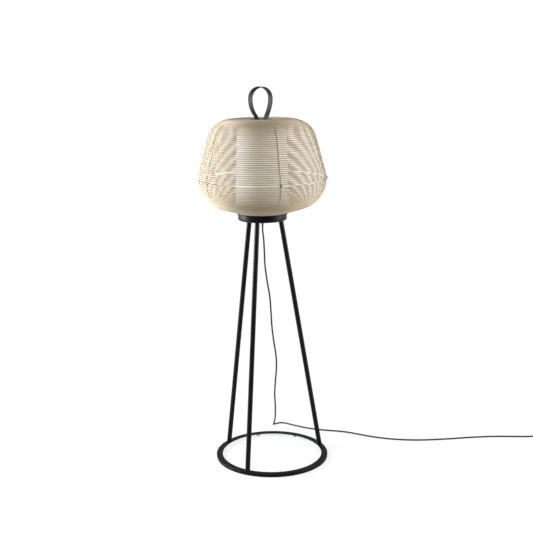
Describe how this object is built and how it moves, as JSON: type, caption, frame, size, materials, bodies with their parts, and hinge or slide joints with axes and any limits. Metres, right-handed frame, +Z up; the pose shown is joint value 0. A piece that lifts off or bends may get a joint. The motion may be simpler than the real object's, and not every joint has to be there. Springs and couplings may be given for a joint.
{
  "type": "outdoor floor lamp",
  "caption": "Outdoor floor lamp: a flat ring base, slanted tube legs, a shallow collar and a lantern shade of cord wound over ribs round an opal diffuser, with a strap loop on its lid.",
  "frame": {"origin": "on the floor under the middle of the lamp's own box, the free cable left out", "axes": "+Z up; -Y towards the picture's camera; +X to the picture's right, where the cable leaves; the collar's axis is upright and stands 3 mm left of the origin, the ring's centre 23 mm right of it"},
  "size_m": [1.3553, 0.5419, 1.3513],
  "materials": {
    "black_metal": "satin",
    "zinc_steel": "satin",
    "rubber": "matte",
    "cable_black": "matte",
    "plug_black": "matte",
    "block_white": "matte",
    "brass": "satin",
    "core_blue": "matte",
    "core_brown": "matte",
    "holder_black": "matte",
    "cap_metal": "satin",
    "bulb_white": "matte",
    "bulb_opal": "gloss",
    "opal": "matte",
    "rib_tan": "matte",
    "cord_cream": "matte",
    "tie_tan": "matte",
    "strap_dark": "matte",
    "pin_metal": "bright"
  },
  "bodies": {
    "stand": {"base_ring": "black_metal", "base_pads": "rubber", "leg_right": "black_metal", "leg_left": "black_metal", "leg_front": "black_metal", "leg_plugs_lower": "zinc_steel", "leg_plugs_upper": "zinc_steel", "leg_screws_lower": "zinc_steel", "leg_screws_upper": "zinc_steel", "collar_pan": "black_metal", "plate_pillars": "zinc_steel", "mounting_plate": "zinc_steel", "plate_screws": "zinc_steel", "collar_gasket": "rubber", "spring_catches": "zinc_steel", "terminal_block": "block_white", "terminal_screws": "brass", "strain_relief": "rubber", "gland_nut": "holder_black", "inner_lead": "cable_black", "supply_wires": "core_blue", "lamp_wires": "core_brown", "lampholder_body": "holder_black", "lampholder_shell": "brass", "centre_contact": "brass", "lampholder_screws": "zinc_steel", "power_cable": "cable_black", "plug_boot": "rubber", "plug_body": "plug_black", "plug_pins": "pin_metal"},
    "shade": {"diffuser": "opal", "diffuser_gasket": "rubber", "diffuser_screws": "zinc_steel", "seat_plate": "black_metal", "foot_hoop": "black_metal", "mouth_ring": "black_metal", "rib_1": "rib_tan", "rib_2": "rib_tan", "rib_3": "rib_tan", "rib_4": "rib_tan", "rib_5": "rib_tan", "rib_ties": "tie_tan", "winding_upper": "cord_cream", "winding_lower": "cord_cream", "lid": "black_metal", "lid_screws": "black_metal", "strap": "strap_dark", "strap_anchor": "zinc_steel", "strap_rivets": "zinc_steel"},
    "bulb": {"bulb_contact": "holder_black", "bulb_cap": "cap_metal", "bulb_housing": "bulb_white", "bulb_globe": "bulb_opal"}
  },
  "joints": [
    {"name": "shade_lift", "type": "slide", "parent": "stand", "child": "shade", "axis": [0, 0, 1], "range_m": [0, 0.16]},
    {"name": "bulb_turn", "type": "hinge", "parent": "stand", "child": "bulb", "pos_m": [-0.003, 0, 0.923], "axis": [0, 0, 1], "range_deg": [0, 1080]}
  ]
}
